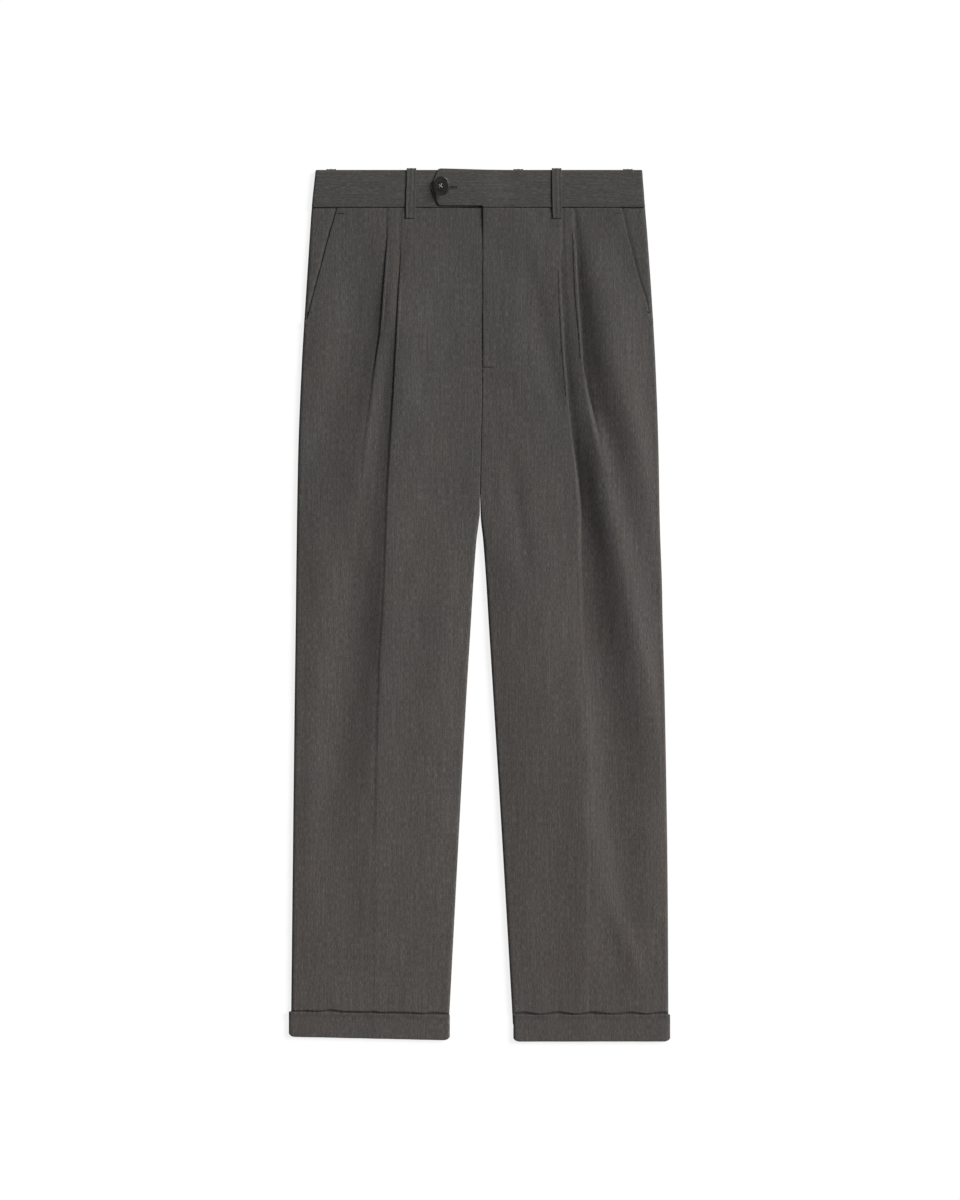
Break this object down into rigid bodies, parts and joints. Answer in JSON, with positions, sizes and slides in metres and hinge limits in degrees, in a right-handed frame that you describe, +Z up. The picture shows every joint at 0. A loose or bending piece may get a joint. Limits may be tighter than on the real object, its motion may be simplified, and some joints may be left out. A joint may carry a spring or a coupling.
{
  "type": "pleated dress trousers",
  "caption": "Pleated dress trousers lying flat, front up: belt-loop waistband with a buttoned pointed tab, slant pockets, pressed creases and turned-up cuffs.",
  "frame": {"origin": "under the middle of the trousers' outline, on the surface they lie on", "axes": "+X to the wearer's left, +Y towards the waistband, +Z up off the surface, out of the front"},
  "size_m": [0.4582, 1.0468, 0.0245],
  "materials": {
    "suiting": "warm dark grey melange twill suiting, matt, fine slub along the grain",
    "zip_tape": "plain woven zip tape, dark grey, matt",
    "button": "dark brown horn-look resin, polished rim, mottled"
  },
  "bodies": {
    "root": {"front_right": "suiting", "back_right": "suiting", "pocket_facing_right": "suiting", "waistband_right": "suiting", "cuff_right": "suiting", "front_left": "suiting", "back_left": "suiting", "pocket_facing_left": "suiting", "waistband_left": "suiting", "cuff_left": "suiting", "fly_underlap": "suiting", "fly_zip": "zip_tape", "waist_button": "button", "belt_loop_front_right": "suiting", "belt_loop_front_left": "suiting", "belt_loop_side_right": "suiting", "belt_loop_side_left": "suiting", "belt_loop_back_right": "suiting", "belt_loop_back_left": "suiting"}
  },
  "joints": []
}
